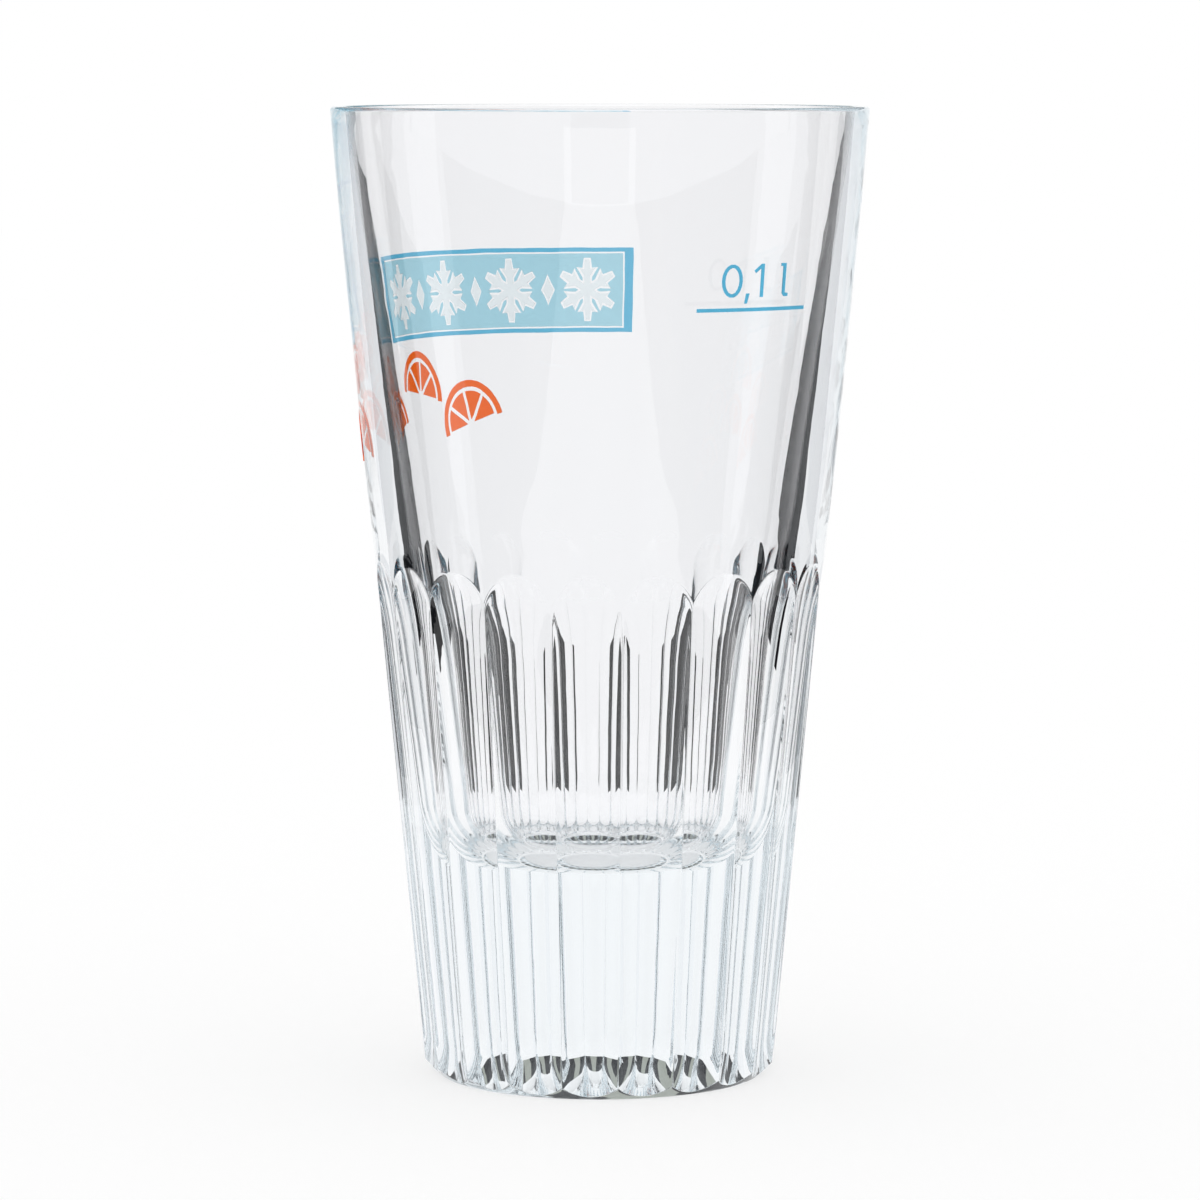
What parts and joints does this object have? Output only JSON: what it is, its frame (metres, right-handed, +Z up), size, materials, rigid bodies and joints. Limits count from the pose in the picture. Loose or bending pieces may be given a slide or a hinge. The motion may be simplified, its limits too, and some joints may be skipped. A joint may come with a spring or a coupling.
{
  "type": "fluted tumbler",
  "caption": "Tapered pressed-glass tumbler with a smooth upper wall, arch-topped flutes below, a thick solid base, a fill line with its capacity, and a coloured enamel label.",
  "frame": {"origin": "centre of the foot ring, on the plane that the glass stands on", "axes": "+Z up along the glass's axis; -Y is the front, with the fill line to the right of it"},
  "size_m": [0.0636, 0.0636, 0.115],
  "materials": {
    "clear_glass": "fire polished",
    "blue_enamel": "fired gloss",
    "pale_blue_enamel": "fired gloss",
    "white_enamel": "fired gloss",
    "orange_enamel": "fired gloss"
  },
  "bodies": {
    "root": {"glass_body": "clear_glass", "fill_line": "blue_enamel", "capacity_zero": "blue_enamel", "capacity_comma": "blue_enamel", "capacity_one": "blue_enamel", "litre_sign": "blue_enamel", "label_frame": "blue_enamel", "label_field": "pale_blue_enamel", "frost_star_1": "white_enamel", "frost_star_2": "white_enamel", "frost_star_3": "white_enamel", "frost_star_4": "white_enamel", "lozenge_1": "white_enamel", "lozenge_2": "white_enamel", "lozenge_3": "white_enamel", "citrus_1_rind": "orange_enamel", "citrus_1_wedge_1": "orange_enamel", "citrus_1_wedge_2": "orange_enamel", "citrus_1_wedge_3": "orange_enamel", "citrus_1_wedge_4": "orange_enamel", "citrus_2_rind": "orange_enamel", "citrus_2_wedge_1": "orange_enamel", "citrus_2_wedge_2": "orange_enamel", "citrus_2_wedge_3": "orange_enamel", "citrus_2_wedge_4": "orange_enamel", "citrus_3_rind": "orange_enamel", "citrus_3_wedge_1": "orange_enamel", "citrus_3_wedge_2": "orange_enamel", "citrus_3_wedge_3": "orange_enamel", "citrus_3_wedge_4": "orange_enamel"}
  },
  "joints": []
}
